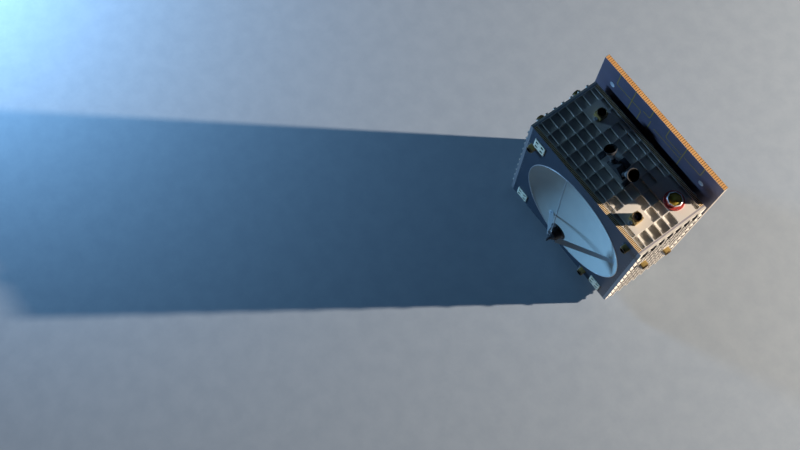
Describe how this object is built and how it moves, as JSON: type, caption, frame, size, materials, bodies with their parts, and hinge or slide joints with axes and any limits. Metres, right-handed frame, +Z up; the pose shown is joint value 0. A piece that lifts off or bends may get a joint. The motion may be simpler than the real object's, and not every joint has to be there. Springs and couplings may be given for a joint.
{
  "type": "satellite",
  "caption": "Box-shaped small satellite with a dish antenna set in its front, ribbed pocket panels, a tall rear deck panel, star trackers and sensor heads, standing on its separation ring.",
  "frame": {"origin": "centre of the separation ring's bolt circle, on the ring's foot face", "axes": "+Z up, away from the ring; +Y from the dish face to the deck panel; +X to the right seen from the dish side"},
  "size_m": [1.09, 0.7825, 1.272],
  "materials": {
    "panel_face": "dark blue-grey coated face sheet, satin",
    "grid_metal": "machined plate, light conversion coat, satin",
    "closeout": "thin bare strip, satin",
    "solar_cell": "deep blue cells under clear cover, glossy",
    "reflector_skin": "pale blue-grey paint, satin",
    "rim_metal": "bare turned ring, satin",
    "feed_dark": "near-black coat, matt",
    "strut_grey": "light grey paint, satin",
    "patch_board": "pale green-white laminate, satin",
    "gold_coat": "gold conversion coat, satin",
    "bare_metal": "bare machined metal, satin",
    "black_box": "black coat, matt",
    "red_ring": "red-orange coat, satin",
    "target_white": "pale grey disc, matt",
    "equipment": "grey housing, matt"
  },
  "bodies": {
    "root": {"bottom_grid_panel": "grid_metal", "brackets_front": "bare_metal", "brackets_left": "bare_metal", "brackets_right": "bare_metal", "brackets_top": "bare_metal", "deck_closeouts": "closeout", "deck_panel": "panel_face", "deck_spacers": "bare_metal", "deck_targets": "target_white", "equipment_block": "equipment", "feed_cap": "feed_dark", "feed_drum": "feed_dark", "feed_strut_lower_left": "strut_grey", "feed_strut_right": "strut_grey", "feed_strut_upper_left": "strut_grey", "feed_tip": "bare_metal", "front_panel": "panel_face", "left_grid_panel": "grid_metal", "octagonal_base": "red_ring", "octagonal_cover": "gold_coat", "octagonal_frame": "bare_metal", "patch_antenna_lower_left": "patch_board", "patch_antenna_lower_right": "patch_board", "patch_antenna_upper_left": "patch_board", "rear_panel": "panel_face", "reflector_bowl": "reflector_skin", "reflector_rim": "rim_metal", "right_grid_panel": "grid_metal", "sensor_head_front_left": "gold_coat", "sensor_head_front_low": "gold_coat", "sensor_head_front_right": "gold_coat", "sensor_head_left_front": "gold_coat", "sensor_head_left_rear": "gold_coat", "sensor_head_right_front": "gold_coat", "sensor_head_right_rear": "gold_coat", "sensor_head_top_left": "gold_coat", "sensor_head_top_right": "gold_coat", "separation_ring": "bare_metal", "solar_strings": "solar_cell", "star_tracker_left": "bare_metal", "star_tracker_mount": "bare_metal", "star_tracker_right": "bare_metal", "top_grid_panel": "grid_metal", "tracker_box_left": "black_box", "tracker_box_middle": "black_box", "tracker_box_right": "black_box"}
  },
  "joints": []
}
